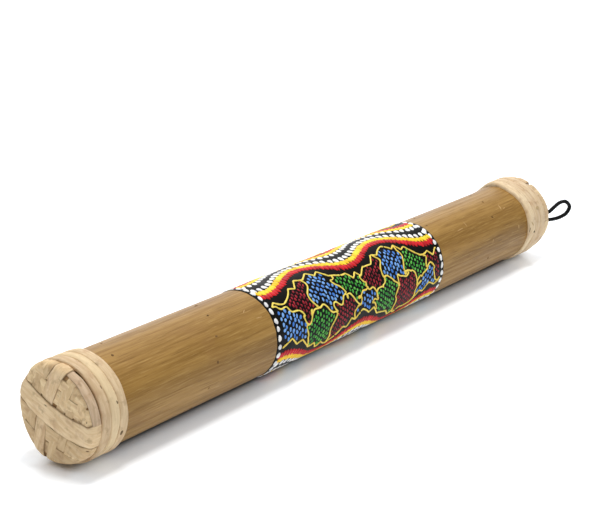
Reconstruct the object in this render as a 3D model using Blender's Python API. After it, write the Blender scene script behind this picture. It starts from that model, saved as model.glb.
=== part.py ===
"""Rainstick: a bamboo tube closed by rattan-bound ends, lying on its side.

The tube's axis runs along X, the front end is at -X and the hanging loop at +X.
Thin pins driven through the wall along a helix cross the bore, and pebbles run
between them.  The stick rests on flat facets of its end bindings at Z = 0.
Angles around the axis start at -Y and turn upwards over +Z.
"""
import math

import bmesh
import bpy
from mathutils import Matrix, Vector

MM = 0.001

# Whole object
LENGTH = 400 * MM
HALF = LENGTH / 2
GAP = 0.3 * MM

# Bamboo tube
TUBE_R = 21.8 * MM
BORE_R = 18.0 * MM
TUBE_END_INSET = 4.0 * MM
SHAVED_R = 20.4 * MM
FLARE = 0.6 * MM
FLARE_LENGTH = 14 * MM
TUBE_SIDES = 36

# Painted band, on a shallow recess in the bamboo
BAND_X = (-73.5 * MM, 78.5 * MM)
BAND_RECESS_R = 21.3 * MM
BAND_R = (21.6 * MM, 22.0 * MM)

# Rattan end caps: depths are measured inwards from the flat end face
FRONT_CAP_DEPTH = 22.1 * MM
REAR_CAP_DEPTH = 26.0 * MM
TURNS = 3
TURN_SIDES = 24
TURN_R = 23.5 * MM
TURN_INNER_R = 22.2 * MM
TURN_START = 6.9 * MM
TURN_CHAMFER = 0.5 * MM
STRIP_WIDTH = 9 * MM
STRIP_THICKNESS = 1.0 * MM
STRIP_SIDE_R = 23.0 * MM
STRIP_LEG_R = 21.7 * MM
STRIP_LEG_DEPTH = 12 * MM
CORNER_R = 3.6 * MM
UNDER_DEPTH = STRIP_THICKNESS + GAP
HOOP_THICKNESS = 0.9 * MM
HOOP_START_R = 18.5 * MM
HOOP_SIDE_DEPTH = 5.2 * MM
MAT_R = 19.8 * MM
MAT_DEPTH = (2.6 * MM, 3.7 * MM)
PLUG_R = 17.6 * MM
PLUG_DEPTH = (TUBE_END_INSET, 12 * MM)
OVER_ANGLE = 19
UNDER_ANGLE = 112

# Rain pins: one every PIN_TURN degrees and PIN_STEP along the tube
PIN_R = 1.0 * MM
PIN_COUNT = 32
PIN_FIRST_X = -169.8 * MM
PIN_FIRST_ANGLE = -290
PIN_STEP = 10.5 * MM
PIN_TURN = 60
PIN_TIP_R = 16.5 * MM
PIN_RECESS = 0.1 * MM

# Pebbles: (lane angle, position along X) and half sizes
PEBBLES = (
    (-95, -20 * MM),
    (-95, -8 * MM),
    (-95, 6 * MM),
    (-65, 35 * MM),
    (-65, 46 * MM),
    (-65, 60 * MM),
    (-125, -70 * MM),
    (-125, -58 * MM),
)
PEBBLE_HALF = (2.3 * MM, 2.0 * MM, 1.7 * MM)
PEBBLE_CLEARANCE = 0.45 * MM

# Hanging loop: a cord whose two ends pass through the rear cap to a knot
CORD_R = 1.2 * MM
CORD_POINT_SPACING = 4.8 * MM
CORD_HOLE_R = 3.0 * MM
LOOP_LEAN = 25
KNOT_R = 3.6 * MM
KNOT_X = 183.8 * MM
KNOT_SIDE_BULGE = 1.15
# (distance out from the end face, height above the tube's axis)
LOOP_ROUTE = (
    (-12.3 * MM, 1.45 * MM),
    (-4 * MM, 1.45 * MM),
    (3 * MM, 1.35 * MM),
    (12 * MM, -0.6 * MM),
    (20 * MM, -2.2 * MM),
    (26 * MM, -1.6 * MM),
    (31 * MM, 1.7 * MM),
    (35.5 * MM, 3.6 * MM),
    (39.5 * MM, 2.7 * MM),
    (41.8 * MM, -0.8 * MM),
    (39.4 * MM, -4.4 * MM),
    (34 * MM, -6.4 * MM),
    (26.5 * MM, -6.9 * MM),
    (18 * MM, -5.6 * MM),
    (9 * MM, -3.0 * MM),
    (2 * MM, -1.65 * MM),
    (-4 * MM, -1.45 * MM),
    (-12.3 * MM, -1.45 * MM),
)

AXIS_Z = TURN_R * math.cos(math.pi / TURN_SIDES)


# ---------------------------------------------------------------- helpers

def clear_scene():
    for obj in list(bpy.data.objects):
        bpy.data.objects.remove(obj, do_unlink=True)


def material(name, colour, roughness):
    mat = bpy.data.materials.new(name)
    mat.use_nodes = True
    shader = mat.node_tree.nodes["Principled BSDF"]
    shader.inputs["Base Color"].default_value = (*colour, 1.0)
    shader.inputs["Roughness"].default_value = roughness
    shader.inputs["Metallic"].default_value = 0.0
    return mat


def mesh_from(bm, name):
    bmesh.ops.recalc_face_normals(bm, faces=bm.faces)
    mesh = bpy.data.meshes.new(name)
    bm.to_mesh(mesh)
    bm.free()
    mesh.shade_smooth()
    mesh.set_sharp_from_angle(angle=math.radians(35))
    return mesh


def add_object(name, data, mat, location=(0, 0, AXIS_Z)):
    obj = bpy.data.objects.new(name, data)
    bpy.context.scene.collection.objects.link(obj)
    obj.location = location
    if mat is not None:
        data.materials.append(mat)
    return obj


def around(angle, radius):
    """Y and Z, from the tube's axis, at an angle that starts at -Y."""
    turn = math.radians(angle)
    return -radius * math.cos(turn), radius * math.sin(turn)


def spin_mesh(name, profile, sides, closed=True):
    """A mesh turned around X from (x, radius) points, with a facet facing straight down."""
    bm = bmesh.new()
    start = math.radians(-90 + 180 / sides)
    verts = [bm.verts.new((x, r * math.cos(start), r * math.sin(start))) for x, r in profile]
    edges = [bm.edges.new(pair) for pair in zip(verts, verts[1:])]
    if closed:
        edges.append(bm.edges.new((verts[-1], verts[0])))
    bmesh.ops.spin(bm, geom=verts + edges, cent=(0, 0, 0), axis=(1, 0, 0),
                   angle=2 * math.pi, steps=sides)
    bmesh.ops.remove_doubles(bm, verts=bm.verts, dist=1e-6)
    return mesh_from(bm, name)


def at_end(end, depth):
    """X of a depth inside the front (-1) or rear (+1) end face."""
    return end * (HALF - depth)


def hide_cutter(obj):
    obj.hide_render = True
    obj.display_type = 'WIRE'


def cut(obj, cutter):
    mod = obj.modifiers.new("cut_" + cutter.name, 'BOOLEAN')
    mod.operation = 'DIFFERENCE'
    mod.solver = 'EXACT'
    mod.object = cutter


# ---------------------------------------------------------------- tube and band

def tube_outline():
    """Outer wall from front to rear, then the bore back again."""
    end_x = HALF - TUBE_END_INSET
    front = at_end(-1, FRONT_CAP_DEPTH + GAP)
    rear = at_end(1, REAR_CAP_DEPTH + GAP)
    band_front, band_rear = BAND_X
    edge = 0.5 * MM
    return [
        (-end_x, SHAVED_R),
        (front, SHAVED_R),
        (front, TUBE_R - edge),
        (front + edge, TUBE_R),
        (band_front, TUBE_R),
        (band_front, BAND_RECESS_R),
        (0, BAND_RECESS_R),
        (band_rear, BAND_RECESS_R),
        (band_rear, TUBE_R),
        (rear - FLARE_LENGTH, TUBE_R),
        (rear - FLARE_LENGTH / 3, TUBE_R + FLARE * 0.6),
        (rear, TUBE_R + FLARE),
        (rear, SHAVED_R),
        (end_x, SHAVED_R),
        (end_x, BORE_R),
        (rear, BORE_R),
        (band_rear, BORE_R),
        (0, BORE_R),
        (band_front, BORE_R),
        (front, BORE_R),
        (-end_x, BORE_R),
    ]


def pin_place(index):
    """Position along X and angle of a rain pin."""
    return PIN_FIRST_X + index * PIN_STEP, PIN_FIRST_ANGLE + index * PIN_TURN


def pin_matrix(index):
    """Turns a pin's own +Z to point out of the wall at its place."""
    x, angle = pin_place(index)
    y, z = around(angle, 1)
    turn = Vector((0, 0, 1)).rotation_difference(Vector((0, y, z)))
    return Matrix.Translation((x, 0, 0)) @ turn.to_matrix().to_4x4()


def pin_hole_cutter():
    """One cylinder through the near wall for each pin."""
    bm = bmesh.new()
    middle = Matrix.Translation((0, 0, (TUBE_R + BORE_R) / 2))
    for index in range(PIN_COUNT):
        bmesh.ops.create_cone(bm, cap_ends=True, segments=8, radius1=PIN_R + GAP,
                              radius2=PIN_R + GAP, depth=10 * MM,
                              matrix=pin_matrix(index) @ middle)
    cutter = add_object("pin_hole_cutter", mesh_from(bm, "pin_hole_cutter"), None)
    hide_cutter(cutter)
    return cutter


def make_tube(mat):
    tube = add_object("bamboo_tube", spin_mesh("bamboo_tube", tube_outline(), TUBE_SIDES), mat)
    cut(tube, pin_hole_cutter())


def make_band(mat):
    front, rear = BAND_X[0] + GAP, BAND_X[1] - GAP
    inner, outer = BAND_R
    profile = [(front, inner), (rear, inner), (rear, outer), (front, outer)]
    add_object("painted_band", spin_mesh("painted_band", profile, TUBE_SIDES), mat)


# ---------------------------------------------------------------- end caps

def make_plug(prefix, end, mat):
    outer, inner = (at_end(end, depth) for depth in PLUG_DEPTH)
    profile = [(outer, 0), (outer, PLUG_R), (inner, PLUG_R), (inner, 0)]
    name = prefix + "_plug"
    return add_object(name, spin_mesh(name, profile, TUBE_SIDES, closed=False), mat)


def make_mat(prefix, end, mat):
    outer, inner = (at_end(end, depth) for depth in MAT_DEPTH)
    profile = [(outer, 0), (outer, MAT_R), (inner, MAT_R), (inner, 0)]
    name = prefix + "_mat"
    return add_object(name, spin_mesh(name, profile, TUBE_SIDES, closed=False), mat)


def corner(radius, angles):
    """(radius, depth) points round the cap's rounded edge; 0 is the side, 90 the face."""
    centre_r = STRIP_SIDE_R - CORNER_R
    points = []
    for angle in angles:
        turn = math.radians(angle)
        points.append((centre_r + radius * math.cos(turn), CORNER_R - radius * math.sin(turn)))
    return points


def make_hoop(prefix, end, mat):
    """Thin hoop bent over the rounded edge of the end face, under the crossing strips."""
    outer_r = CORNER_R - UNDER_DEPTH
    inner_r = outer_r - HOOP_THICKNESS
    outer = [(HOOP_START_R, UNDER_DEPTH)] + corner(outer_r, (90, 60, 30, 0))
    inner = corner(inner_r, (0, 30, 60, 90))
    inner.append((HOOP_START_R, UNDER_DEPTH + HOOP_THICKNESS))
    side = [(outer[-1][0], HOOP_SIDE_DEPTH), (inner[0][0], HOOP_SIDE_DEPTH)]
    profile = [(at_end(end, depth), radius) for radius, depth in outer + side + inner]
    name = prefix + "_rim_hoop"
    return add_object(name, spin_mesh(name, profile, TUBE_SIDES), mat)


def strip_stations(centre_depth):
    """Half of a strip's outer line, from its tucked end to the middle of the face."""
    ramp = 13 * MM
    flat = 8 * MM
    stations = [
        (STRIP_LEG_R, STRIP_LEG_DEPTH),
        (STRIP_LEG_R, TURN_START - 0.1 * MM),
        (STRIP_SIDE_R, HOOP_SIDE_DEPTH + 0.2 * MM),
    ]
    stations += corner(CORNER_R, (0, 30, 60, 90))
    stations += [(ramp, 0), (flat, centre_depth), (0, centre_depth)]
    return stations


def strip_sheet(name, end, angle, centre_depth):
    """Open sheet of a strip that crosses the end face and folds down both sides."""
    half = strip_stations(centre_depth)
    line = [(r, d) for r, d in half] + [(-r, d) for r, d in reversed(half[:-1])]
    across = [STRIP_WIDTH * part for part in (-0.5, -0.17, 0.17, 0.5)]
    smallest_bend = 15 * MM
    turn = Matrix.Rotation(math.radians(angle), 4, 'X')
    bm = bmesh.new()
    rows = []
    for r, depth in line:
        row = []
        for w in across:
            bend = w / max(abs(r), smallest_bend)
            place = Vector((at_end(end, depth), r * math.sqrt(1 - bend * bend), w))
            row.append(bm.verts.new(turn @ place))
        rows.append(row)
    for row, after in zip(rows, rows[1:]):
        for i in range(len(across) - 1):
            corners = [row[i], row[i + 1], after[i + 1], after[i]]
            bm.faces.new(corners if end > 0 else corners[::-1])
    mesh = bpy.data.meshes.new(name)
    bm.to_mesh(mesh)
    bm.free()
    mesh.shade_smooth()
    mesh.set_sharp_from_angle(angle=math.radians(35))
    return mesh


def make_strip(prefix, kind, end, angle, centre_depth, mat):
    name = prefix + "_strip_" + kind
    strip = add_object(name, strip_sheet(name, end, angle, centre_depth), mat)
    solid = strip.modifiers.new("thickness", 'SOLIDIFY')
    solid.thickness = STRIP_THICKNESS
    solid.offset = -1
    solid.use_even_offset = True
    return strip


def make_turns(prefix, end, cap_depth, mat):
    """Rattan turns that bind the folded strips to the tube."""
    pitch = (cap_depth - TURN_START + GAP) / TURNS
    for number in range(TURNS):
        near = TURN_START + number * pitch
        far = near + pitch - GAP
        section = [
            (near, TURN_INNER_R),
            (far, TURN_INNER_R),
            (far, TURN_R - TURN_CHAMFER),
            (far - TURN_CHAMFER, TURN_R),
            (near + TURN_CHAMFER, TURN_R),
            (near, TURN_R - TURN_CHAMFER),
        ]
        profile = [(at_end(end, depth), radius) for depth, radius in section]
        name = f"{prefix}_turn_{number + 1}"
        add_object(name, spin_mesh(name, profile, TURN_SIDES), mat)


def make_cap(prefix, end, cap_depth, mats):
    """Every piece of one end; returns the pieces that lie across the middle of the face."""
    make_hoop(prefix, end, mats["rim"])
    make_turns(prefix, end, cap_depth, mats["turn"])
    return [
        make_plug(prefix, end, mats["plug"]),
        make_mat(prefix, end, mats["mat"]),
        make_strip(prefix, "under", end, UNDER_ANGLE, UNDER_DEPTH, mats["strip"]),
        make_strip(prefix, "over", end, OVER_ANGLE, 0, mats["strip"]),
    ]


# ---------------------------------------------------------------- rain pins and pebbles

def pin_mesh(name, outer_r):
    bm = bmesh.new()
    length = outer_r + PIN_TIP_R
    middle = Matrix.Translation((0, 0, (outer_r - PIN_TIP_R) / 2))
    bmesh.ops.create_cone(bm, cap_ends=True, segments=10, radius1=PIN_R * 0.8,
                          radius2=PIN_R, depth=length, matrix=middle)
    return mesh_from(bm, name)


def make_pins(mat):
    """Pins driven in from one side, flush outside and short of the far wall inside."""
    plain = pin_mesh("rain_pin", TUBE_R - PIN_RECESS)
    banded = pin_mesh("rain_pin_under_band", BAND_RECESS_R - PIN_RECESS)
    for mesh in (plain, banded):
        mesh.materials.append(mat)
    for index in range(PIN_COUNT):
        x, _ = pin_place(index)
        under_band = BAND_X[0] - PIN_R < x < BAND_X[1] + PIN_R
        mesh = banded if under_band else plain
        obj = add_object(f"rain_pin_{index + 1:02d}", mesh, None)
        obj.rotation_mode = 'QUATERNION'
        place = Matrix.Translation((0, 0, AXIS_Z)) @ pin_matrix(index)
        obj.location = place.to_translation()
        obj.rotation_quaternion = place.to_quaternion()


def pebble_mesh():
    """A smooth uneven pebble, longest along X."""
    bm = bmesh.new()
    bmesh.ops.create_icosphere(bm, subdivisions=2, radius=1)
    for vert in bm.verts:
        swell = 1 + 0.06 * math.sin(3 * vert.co.x + 1) * math.cos(2 * vert.co.y)
        for axis in range(3):
            vert.co[axis] *= PEBBLE_HALF[axis] * swell
    return mesh_from(bm, "pebble")


def make_pebbles(mat):
    """Pebbles lying in straight lanes between the pins, along the bottom of the bore."""
    mesh = pebble_mesh()
    mesh.materials.append(mat)
    lane_r = BORE_R - PEBBLE_HALF[2] - PEBBLE_CLEARANCE
    for number, (angle, x) in enumerate(PEBBLES, start=1):
        y, z = around(angle, lane_r)
        obj = add_object(f"pebble_{number}", mesh, None, (x, y, AXIS_Z + z))
        obj.rotation_euler = (math.radians(-90 - angle), 0, 0)


# ---------------------------------------------------------------- hanging loop

def loop_point(out, height):
    """A route point: straight out of the end face, then leaning towards -Y."""
    lean = math.radians(LOOP_LEAN)
    ease = min(max(out / (12 * MM), 0), 1)
    sideways = max(out, 0) * math.sin(lean) * ease
    forwards = out if out < 0 else out * (1 + ease * (math.cos(lean) - 1))
    return Vector((HALF + forwards, -sideways, height))


def smooth_route(points, spacing):
    """Points a steady distance apart on a Catmull-Rom curve through a route."""
    ends = [2 * points[0] - points[1]] + points + [2 * points[-1] - points[-2]]
    fine = []
    steps = 24
    for i in range(1, len(ends) - 2):
        a, b, c, d = ends[i - 1:i + 3]
        for step in range(steps):
            t = step / steps
            fine.append(0.5 * (2 * b + (c - a) * t + (2 * a - 5 * b + 4 * c - d) * t ** 2
                               + (3 * b - a - 3 * c + d) * t ** 3))
    fine.append(points[-1])
    lengths = [0]
    for before, after in zip(fine, fine[1:]):
        lengths.append(lengths[-1] + (after - before).length)
    count = round(lengths[-1] / spacing)
    route = []
    index = 0
    for k in range(count + 1):
        goal = lengths[-1] * k / count
        while index < len(fine) - 2 and lengths[index + 1] < goal:
            index += 1
        span = lengths[index + 1] - lengths[index]
        route.append(fine[index].lerp(fine[index + 1], (goal - lengths[index]) / span))
    return route


def make_loop(mat):
    curve = bpy.data.curves.new("hanging_loop", 'CURVE')
    curve.dimensions = '3D'
    curve.bevel_depth = CORD_R
    curve.bevel_resolution = 2
    curve.use_fill_caps = True
    points = smooth_route([loop_point(*p) for p in LOOP_ROUTE], CORD_POINT_SPACING)
    spline = curve.splines.new('POLY')
    spline.points.add(len(points) - 1)
    for target, point in zip(spline.points, points):
        target.co = (*point, 1)
    add_object("hanging_loop", curve, mat)


def make_knot(mat):
    """The overhand knot that stops both cord ends behind the rear plug."""
    bm = bmesh.new()
    bmesh.ops.create_icosphere(bm, subdivisions=3, radius=KNOT_R)
    for vert in bm.verts:
        vert.co.y *= KNOT_SIDE_BULGE
        vert.co.z *= KNOT_SIDE_BULGE
    add_object("loop_knot", mesh_from(bm, "loop_knot"), mat, (KNOT_X, 0, AXIS_Z))


def cord_hole_cutter():
    bm = bmesh.new()
    along = Matrix.Translation((HALF - 6 * MM, 0, 0)) @ Matrix.Rotation(math.pi / 2, 4, 'Y')
    bmesh.ops.create_cone(bm, cap_ends=True, segments=12, radius1=CORD_HOLE_R,
                          radius2=CORD_HOLE_R, depth=20 * MM, matrix=along)
    cutter = add_object("cord_hole_cutter", mesh_from(bm, "cord_hole_cutter"), None)
    hide_cutter(cutter)
    return cutter


# ---------------------------------------------------------------- assembly

def main():
    clear_scene()
    mats = {
        "bamboo": material("bamboo", (0.42, 0.24, 0.07), 0.45),
        "paint": material("paint", (0.015, 0.015, 0.017), 0.3),
        "strip": material("rattan_strip", (0.62, 0.47, 0.27), 0.6),
        "turn": material("rattan_turn", (0.68, 0.51, 0.31), 0.6),
        "mat": material("rattan_mat", (0.55, 0.41, 0.22), 0.65),
        "rim": material("rattan_rim", (0.52, 0.41, 0.32), 0.6),
        "plug": material("plug_wood", (0.50, 0.34, 0.18), 0.7),
        "pin": material("pin_wood", (0.16, 0.08, 0.03), 0.6),
        "pebble": material("pebble_stone", (0.36, 0.33, 0.29), 0.55),
        "cord": material("cord", (0.012, 0.012, 0.013), 0.6),
    }
    make_tube(mats["bamboo"])
    make_band(mats["paint"])
    make_cap("front", -1, FRONT_CAP_DEPTH, mats)
    pierced = make_cap("rear", 1, REAR_CAP_DEPTH, mats)
    hole = cord_hole_cutter()
    for obj in pierced:
        cut(obj, hole)
    make_pins(mats["pin"])
    make_pebbles(mats["pebble"])
    make_loop(mats["cord"])
    make_knot(mats["cord"])


main()
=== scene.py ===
"""Looks of the rainstick: bamboo, rattan bindings, dotted paint, cord and studio.

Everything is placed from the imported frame.  The tube's axis runs along X at
AXIS_Z.  Angles around it start at -Y and turn upwards over +Z, as in the design.
"""
import math

import bmesh
import bpy
import numpy as np
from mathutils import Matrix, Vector


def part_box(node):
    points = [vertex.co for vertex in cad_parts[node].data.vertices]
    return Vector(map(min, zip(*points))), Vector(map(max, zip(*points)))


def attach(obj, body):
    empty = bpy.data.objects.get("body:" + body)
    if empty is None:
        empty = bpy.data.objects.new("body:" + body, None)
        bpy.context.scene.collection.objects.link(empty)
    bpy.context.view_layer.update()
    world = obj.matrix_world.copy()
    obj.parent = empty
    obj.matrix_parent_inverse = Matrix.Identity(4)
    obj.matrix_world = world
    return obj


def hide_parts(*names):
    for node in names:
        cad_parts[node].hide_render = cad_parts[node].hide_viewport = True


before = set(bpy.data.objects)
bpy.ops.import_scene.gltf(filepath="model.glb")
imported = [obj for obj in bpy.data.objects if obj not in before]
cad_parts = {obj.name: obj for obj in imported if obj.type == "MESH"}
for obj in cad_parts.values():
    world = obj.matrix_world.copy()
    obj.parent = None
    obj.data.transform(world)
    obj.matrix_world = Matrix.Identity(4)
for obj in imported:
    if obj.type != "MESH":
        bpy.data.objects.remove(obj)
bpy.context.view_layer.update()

MM = 0.001
STICK = "stick"

# Places that the frame gives
tube_low, tube_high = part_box("bamboo_tube")
AXIS_Z = (tube_low.z + tube_high.z) / 2
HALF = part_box("rear_strip_over")[1].x
FRONT_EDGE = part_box("front_turn_3")[1].x
REAR_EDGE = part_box("rear_turn_3")[0].x
BAND_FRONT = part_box("painted_band")[0].x
BAND_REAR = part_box("painted_band")[1].x

# Tube
TUBE_R = 21.8 * MM
BORE_R = 18.0 * MM
SHAVED_R = 20.4 * MM
TUBE_END_INSET = 4.0 * MM
FLARE = 0.6 * MM
FLARE_LENGTH = 14 * MM
BAND_R = 22.0 * MM

# Caps
SIDE_R = 23.0 * MM
TUCK_R = 21.7 * MM
TUCK_DEPTH = 6.0 * MM
TUCK_LENGTH = 1.2 * MM
TURN_R = 23.3 * MM
TURN_INNER_R = 22.2 * MM
CORD_HOLE_R = 3.0 * MM

# Camera: the photographer's place, from the fit of the stick's outline
CAMERA_PLACE = (-0.6097, -0.4293, 0.2699)
CAMERA_YAW = -53.54
CAMERA_PITCH = -17.08
CAMERA_LENS = 92.3


# ---- camera and studio

def new_object(name, data):
    """An object in the scene."""
    obj = bpy.data.objects.new(name, data)
    bpy.context.scene.collection.objects.link(obj)
    return obj


def add_camera():
    data = bpy.data.cameras.new("camera")
    data.lens = CAMERA_LENS
    data.sensor_width = 36
    data.clip_start = 0.01
    data.dof.use_dof = False
    camera = new_object("camera", data)
    camera.location = CAMERA_PLACE
    camera.rotation_euler = (math.radians(90 + CAMERA_PITCH), 0, math.radians(CAMERA_YAW))
    bpy.context.scene.camera = camera


# Area lights: name, place, point aimed at, size in metres, power in watts
SOFTBOXES = (
    ("ceiling_softbox", (0, 0, 1.4), (0, 0, 0), (3.2, 3.2), 22),
    ("overhead_softbox", (0.06, 0.0, 1.3), (0, 0, 0), (0.3, 0.3), 9.5),
    ("rear_softbox", (1.0, 0.85, 0.42), (0, 0, 0.02), (1.3, 0.8), 4.5),
)
WORLD_STRENGTH = 0.3


def add_softbox(name, place, aim, size, power):
    data = bpy.data.lights.new(name, 'AREA')
    data.shape = 'RECTANGLE'
    data.size, data.size_y = size
    data.energy = power
    light = new_object(name, data)
    light.location = place
    light.rotation_euler = (Vector(aim) - Vector(place)).to_track_quat('-Z', 'Y').to_euler()


def add_studio():
    scene = bpy.context.scene
    scene.view_settings.view_transform = 'Standard'
    world = bpy.data.worlds.new("studio_white")
    world.use_nodes = True
    background = world.node_tree.nodes["Background"]
    background.inputs["Color"].default_value = (1, 1, 1, 1)
    background.inputs["Strength"].default_value = WORLD_STRENGTH
    scene.world = world
    for softbox in SOFTBOXES:
        add_softbox(*softbox)


# ---- node materials

def srgb(red, green, blue):
    """Linear colour of an sRGB colour given from 0 to 255."""
    linear = []
    for part in (red, green, blue):
        part /= 255
        linear.append(part / 12.92 if part <= 0.04045 else ((part + 0.055) / 1.055) ** 2.4)
    return (*linear, 1.0)


class Look:
    """One node material, built step by step."""

    def __init__(self, name, roughness, specular):
        self.mat = bpy.data.materials.new(name)
        self.mat.use_nodes = True
        self.tree = self.mat.node_tree
        self.shader = self.tree.nodes["Principled BSDF"]
        self.set("Roughness", roughness)
        self.set("Specular IOR Level", specular)

    def set(self, name, value):
        self.put(self.shader.inputs[name], value)

    def put(self, socket, value):
        if isinstance(value, bpy.types.NodeSocket):
            self.tree.links.new(value, socket)
        else:
            socket.default_value = value

    def node(self, kind, inputs, **settings):
        made = self.tree.nodes.new(kind)
        for key, value in settings.items():
            setattr(made, key, value)
        for key, value in inputs.items():
            self.put(made.inputs[key], value)
        return made

    def place(self):
        return self.node("ShaderNodeTexCoord", {}).outputs["Object"]

    def grain(self):
        """Distance along the fibres, across them, and a number for each strip, in millimetres."""
        return self.node("ShaderNodeAttribute", {}, attribute_name="grain").outputs["Vector"]

    def tint(self):
        return self.node("ShaderNodeAttribute", {}, attribute_name="tint").outputs["Fac"]

    def scaled(self, vector, factors):
        return self.node("ShaderNodeVectorMath", {0: vector, 1: factors},
                         operation='MULTIPLY').outputs[0]

    def noise(self, vector, scale, detail=3.0, roughness=0.55, distortion=0.0):
        """Noise at one scale, or at a scale for each axis."""
        if isinstance(scale, tuple):
            vector, scale = self.scaled(vector, scale), 1.0
        inputs = {"Vector": vector, "Scale": scale, "Detail": detail, "Roughness": roughness,
                  "Distortion": distortion}
        return self.node("ShaderNodeTexNoise", inputs).outputs[0]

    def cells(self, vector, scale=1.0):
        made = self.node("ShaderNodeTexVoronoi", {"Vector": vector, "Scale": scale})
        return made.outputs["Distance"], made.outputs["Color"]

    def math(self, operation, first, second=0.0, clamp=False):
        return self.node("ShaderNodeMath", {0: first, 1: second}, operation=operation,
                         use_clamp=clamp).outputs[0]

    def span(self, value, low, high, to_low=0.0, to_high=1.0):
        """Maps low..high to to_low..to_high, clamped and smooth."""
        inputs = {"Value": value, "From Min": low, "From Max": high, "To Min": to_low,
                  "To Max": to_high}
        return self.node("ShaderNodeMapRange", inputs,
                         interpolation_type='SMOOTHSTEP').outputs[0]

    def blend(self, fac, first, second):
        made = self.node("ShaderNodeMix", {}, data_type='RGBA')
        self.put(made.inputs["Factor"], fac)
        self.put(made.inputs[6], first)
        self.put(made.inputs[7], second)
        return made.outputs[2]

    def layered(self, colour, layers):
        """Colours laid over a colour, each as (value, its low, its high, most cover, colour)."""
        for value, low, high, cover, over in layers:
            colour = self.blend(self.span(value, low, high, 0, cover), colour, over)
        return colour

    def bump(self, height, distance):
        made = self.node("ShaderNodeBump", {"Height": height, "Distance": distance})
        self.set("Normal", made.outputs[0])


def bamboo_look():
    """Lacquered bamboo: stripes, veins and fine fibres along X, with cloudy patches."""
    look = Look("bamboo_surface", 0.42, specular=0.22)
    place = look.place()
    fibres = look.noise(place, (75, 1500, 1500), detail=5, roughness=0.62)
    veins = look.noise(place, (20, 640, 640), detail=4)
    stripes = look.noise(place, (9, 130, 130), detail=3)
    clouds = look.noise(place, (38, 70, 70), detail=4)
    colour = look.blend(look.span(stripes, 0.32, 0.68), srgb(137, 101, 45), srgb(166, 128, 67))
    look.set("Base Color", look.layered(colour, (
        (veins, 0.42, 0.72, 0.6, srgb(124, 88, 37)),
        (fibres, 0.5, 0.74, 0.65, srgb(186, 151, 90)),
        (fibres, 0.46, 0.26, 0.65, srgb(100, 68, 30)),
        (clouds, 0.5, 0.75, 0.5, srgb(146, 108, 60)),
    )))
    look.set("Roughness", look.span(veins, 0.3, 0.7, 0.36, 0.5))
    look.bump(look.math('ADD', fibres, veins), 0.00005)
    return look.mat


def rattan_look(name, pale, warm, dark, fleck_share=0.12):
    """Split rattan: long fibres, smudges, dark flecks, and painted shade that darkens the edges
    where tint is low.
    """
    look = Look(name, 0.6, specular=0.2)
    grain = look.grain()
    fibres = look.noise(grain, (0.2, 3.4, 7.0), detail=4, roughness=0.65)
    bands = look.noise(grain, (0.09, 0.6, 3.0), detail=3)
    clouds = look.noise(grain, (0.16, 0.22, 5.0), detail=3)
    smudges = look.noise(look.place(), 260, detail=3)
    strips = look.noise(grain, (0, 0, 3.7), detail=0)
    colour = look.layered(look.blend(look.span(bands, 0.35, 0.68), warm, pale), (
        (fibres, 0.42, 0.24, 0.55, dark),
        (clouds, 0.5, 0.72, 0.65, srgb(192, 156, 120)),
        (smudges, 0.54, 0.74, 0.5, dark),
        (strips, 0.55, 0.3, 0.4, dark),
        (strips, 0.5, 0.7, 0.45, srgb(238, 216, 172)),
    ))
    # Painted shade: a strip's edges go darker where tint is low.
    edges = look.span(look.tint(), 0.0, 0.45, 0.62, 0)
    colour = look.blend(edges, colour, srgb(112, 80, 52))
    near, chance = look.cells(look.scaled(grain, (0.22, 0.62, 11.0)))
    spot = look.span(near, 0.26, 0.12)
    rare = look.span(chance, fleck_share, fleck_share * 0.6)
    flecks = look.math('MULTIPLY', spot, rare)
    look.set("Base Color", look.blend(flecks, colour, srgb(96, 66, 40)))
    look.bump(fibres, 0.00018)
    return look.mat


def tinted_look(name, dark, light, roughness, specular, specks, share, tints, height):
    """Each dab has its own tint, mixed with a share of fine specks, as (scale, detail)."""
    look = Look(name, roughness, specular)
    grains = look.noise(look.place(), *specks)
    mixed = look.math('ADD', look.math('MULTIPLY', grains, share), look.tint())
    look.set("Base Color", look.blend(look.span(mixed, *tints), dark, light))
    look.bump(grains, height)
    return look.mat


def mark_look(name, dark, light):
    """Small marks in wood."""
    return tinted_look(name, dark, light, 0.7, 0.15, (1400, 3), 0.5, (0.2, 1.3), 0.0001)


def paint_look(name, light, dark):
    """Thick satin dot paint with a brushed surface."""
    return tinted_look(name, dark, light, 0.4, 0.2, (900, 2), 0.6, (0.3, 1.2), 0.00008)


def backing_look():
    """The inner layer of rattan, dull, its colour darkened as painted shade for the gaps of the
    weave.
    """
    look = Look("rattan_shadow", 0.8, specular=0.2)
    fibres = look.noise(look.place(), (900, 300, 900), detail=3)
    # Painted shade: both colours sit well below the rattan's, for the shade deep in the weave.
    look.set("Base Color", look.blend(fibres, srgb(120, 88, 56), srgb(176, 138, 94)))
    look.bump(fibres, 0.0003)
    return look.mat


def wood_look(name, light, dark):
    look = Look(name, 0.6, specular=0.3)
    place = look.place()
    rings = look.noise(place, (60, 260, 260), detail=4, distortion=0.4)
    pores = look.noise(place, (900, 1800, 1800), detail=3)
    colour = look.blend(look.span(rings, 0.35, 0.65), dark, light)
    look.set("Base Color", look.blend(look.span(pores, 0.42, 0.25, 0, 0.6), colour, dark))
    look.bump(pores, 0.0001)
    return look.mat


def coat_look():
    """The black ground coat, with the bamboo's fibres faintly showing in its sheen."""
    look = Look("black_coat", 0.4, specular=0.07)
    place = look.place()
    fibres = look.noise(place, (40, 1100, 1100), detail=3)
    clouds = look.noise(place, 120, detail=3)
    look.set("Base Color", look.blend(clouds, srgb(7, 7, 7), srgb(18, 17, 17)))
    look.set("Roughness", look.span(clouds, 0.3, 0.7, 0.34, 0.48))
    look.bump(fibres, 0.00006)
    return look.mat


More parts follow.
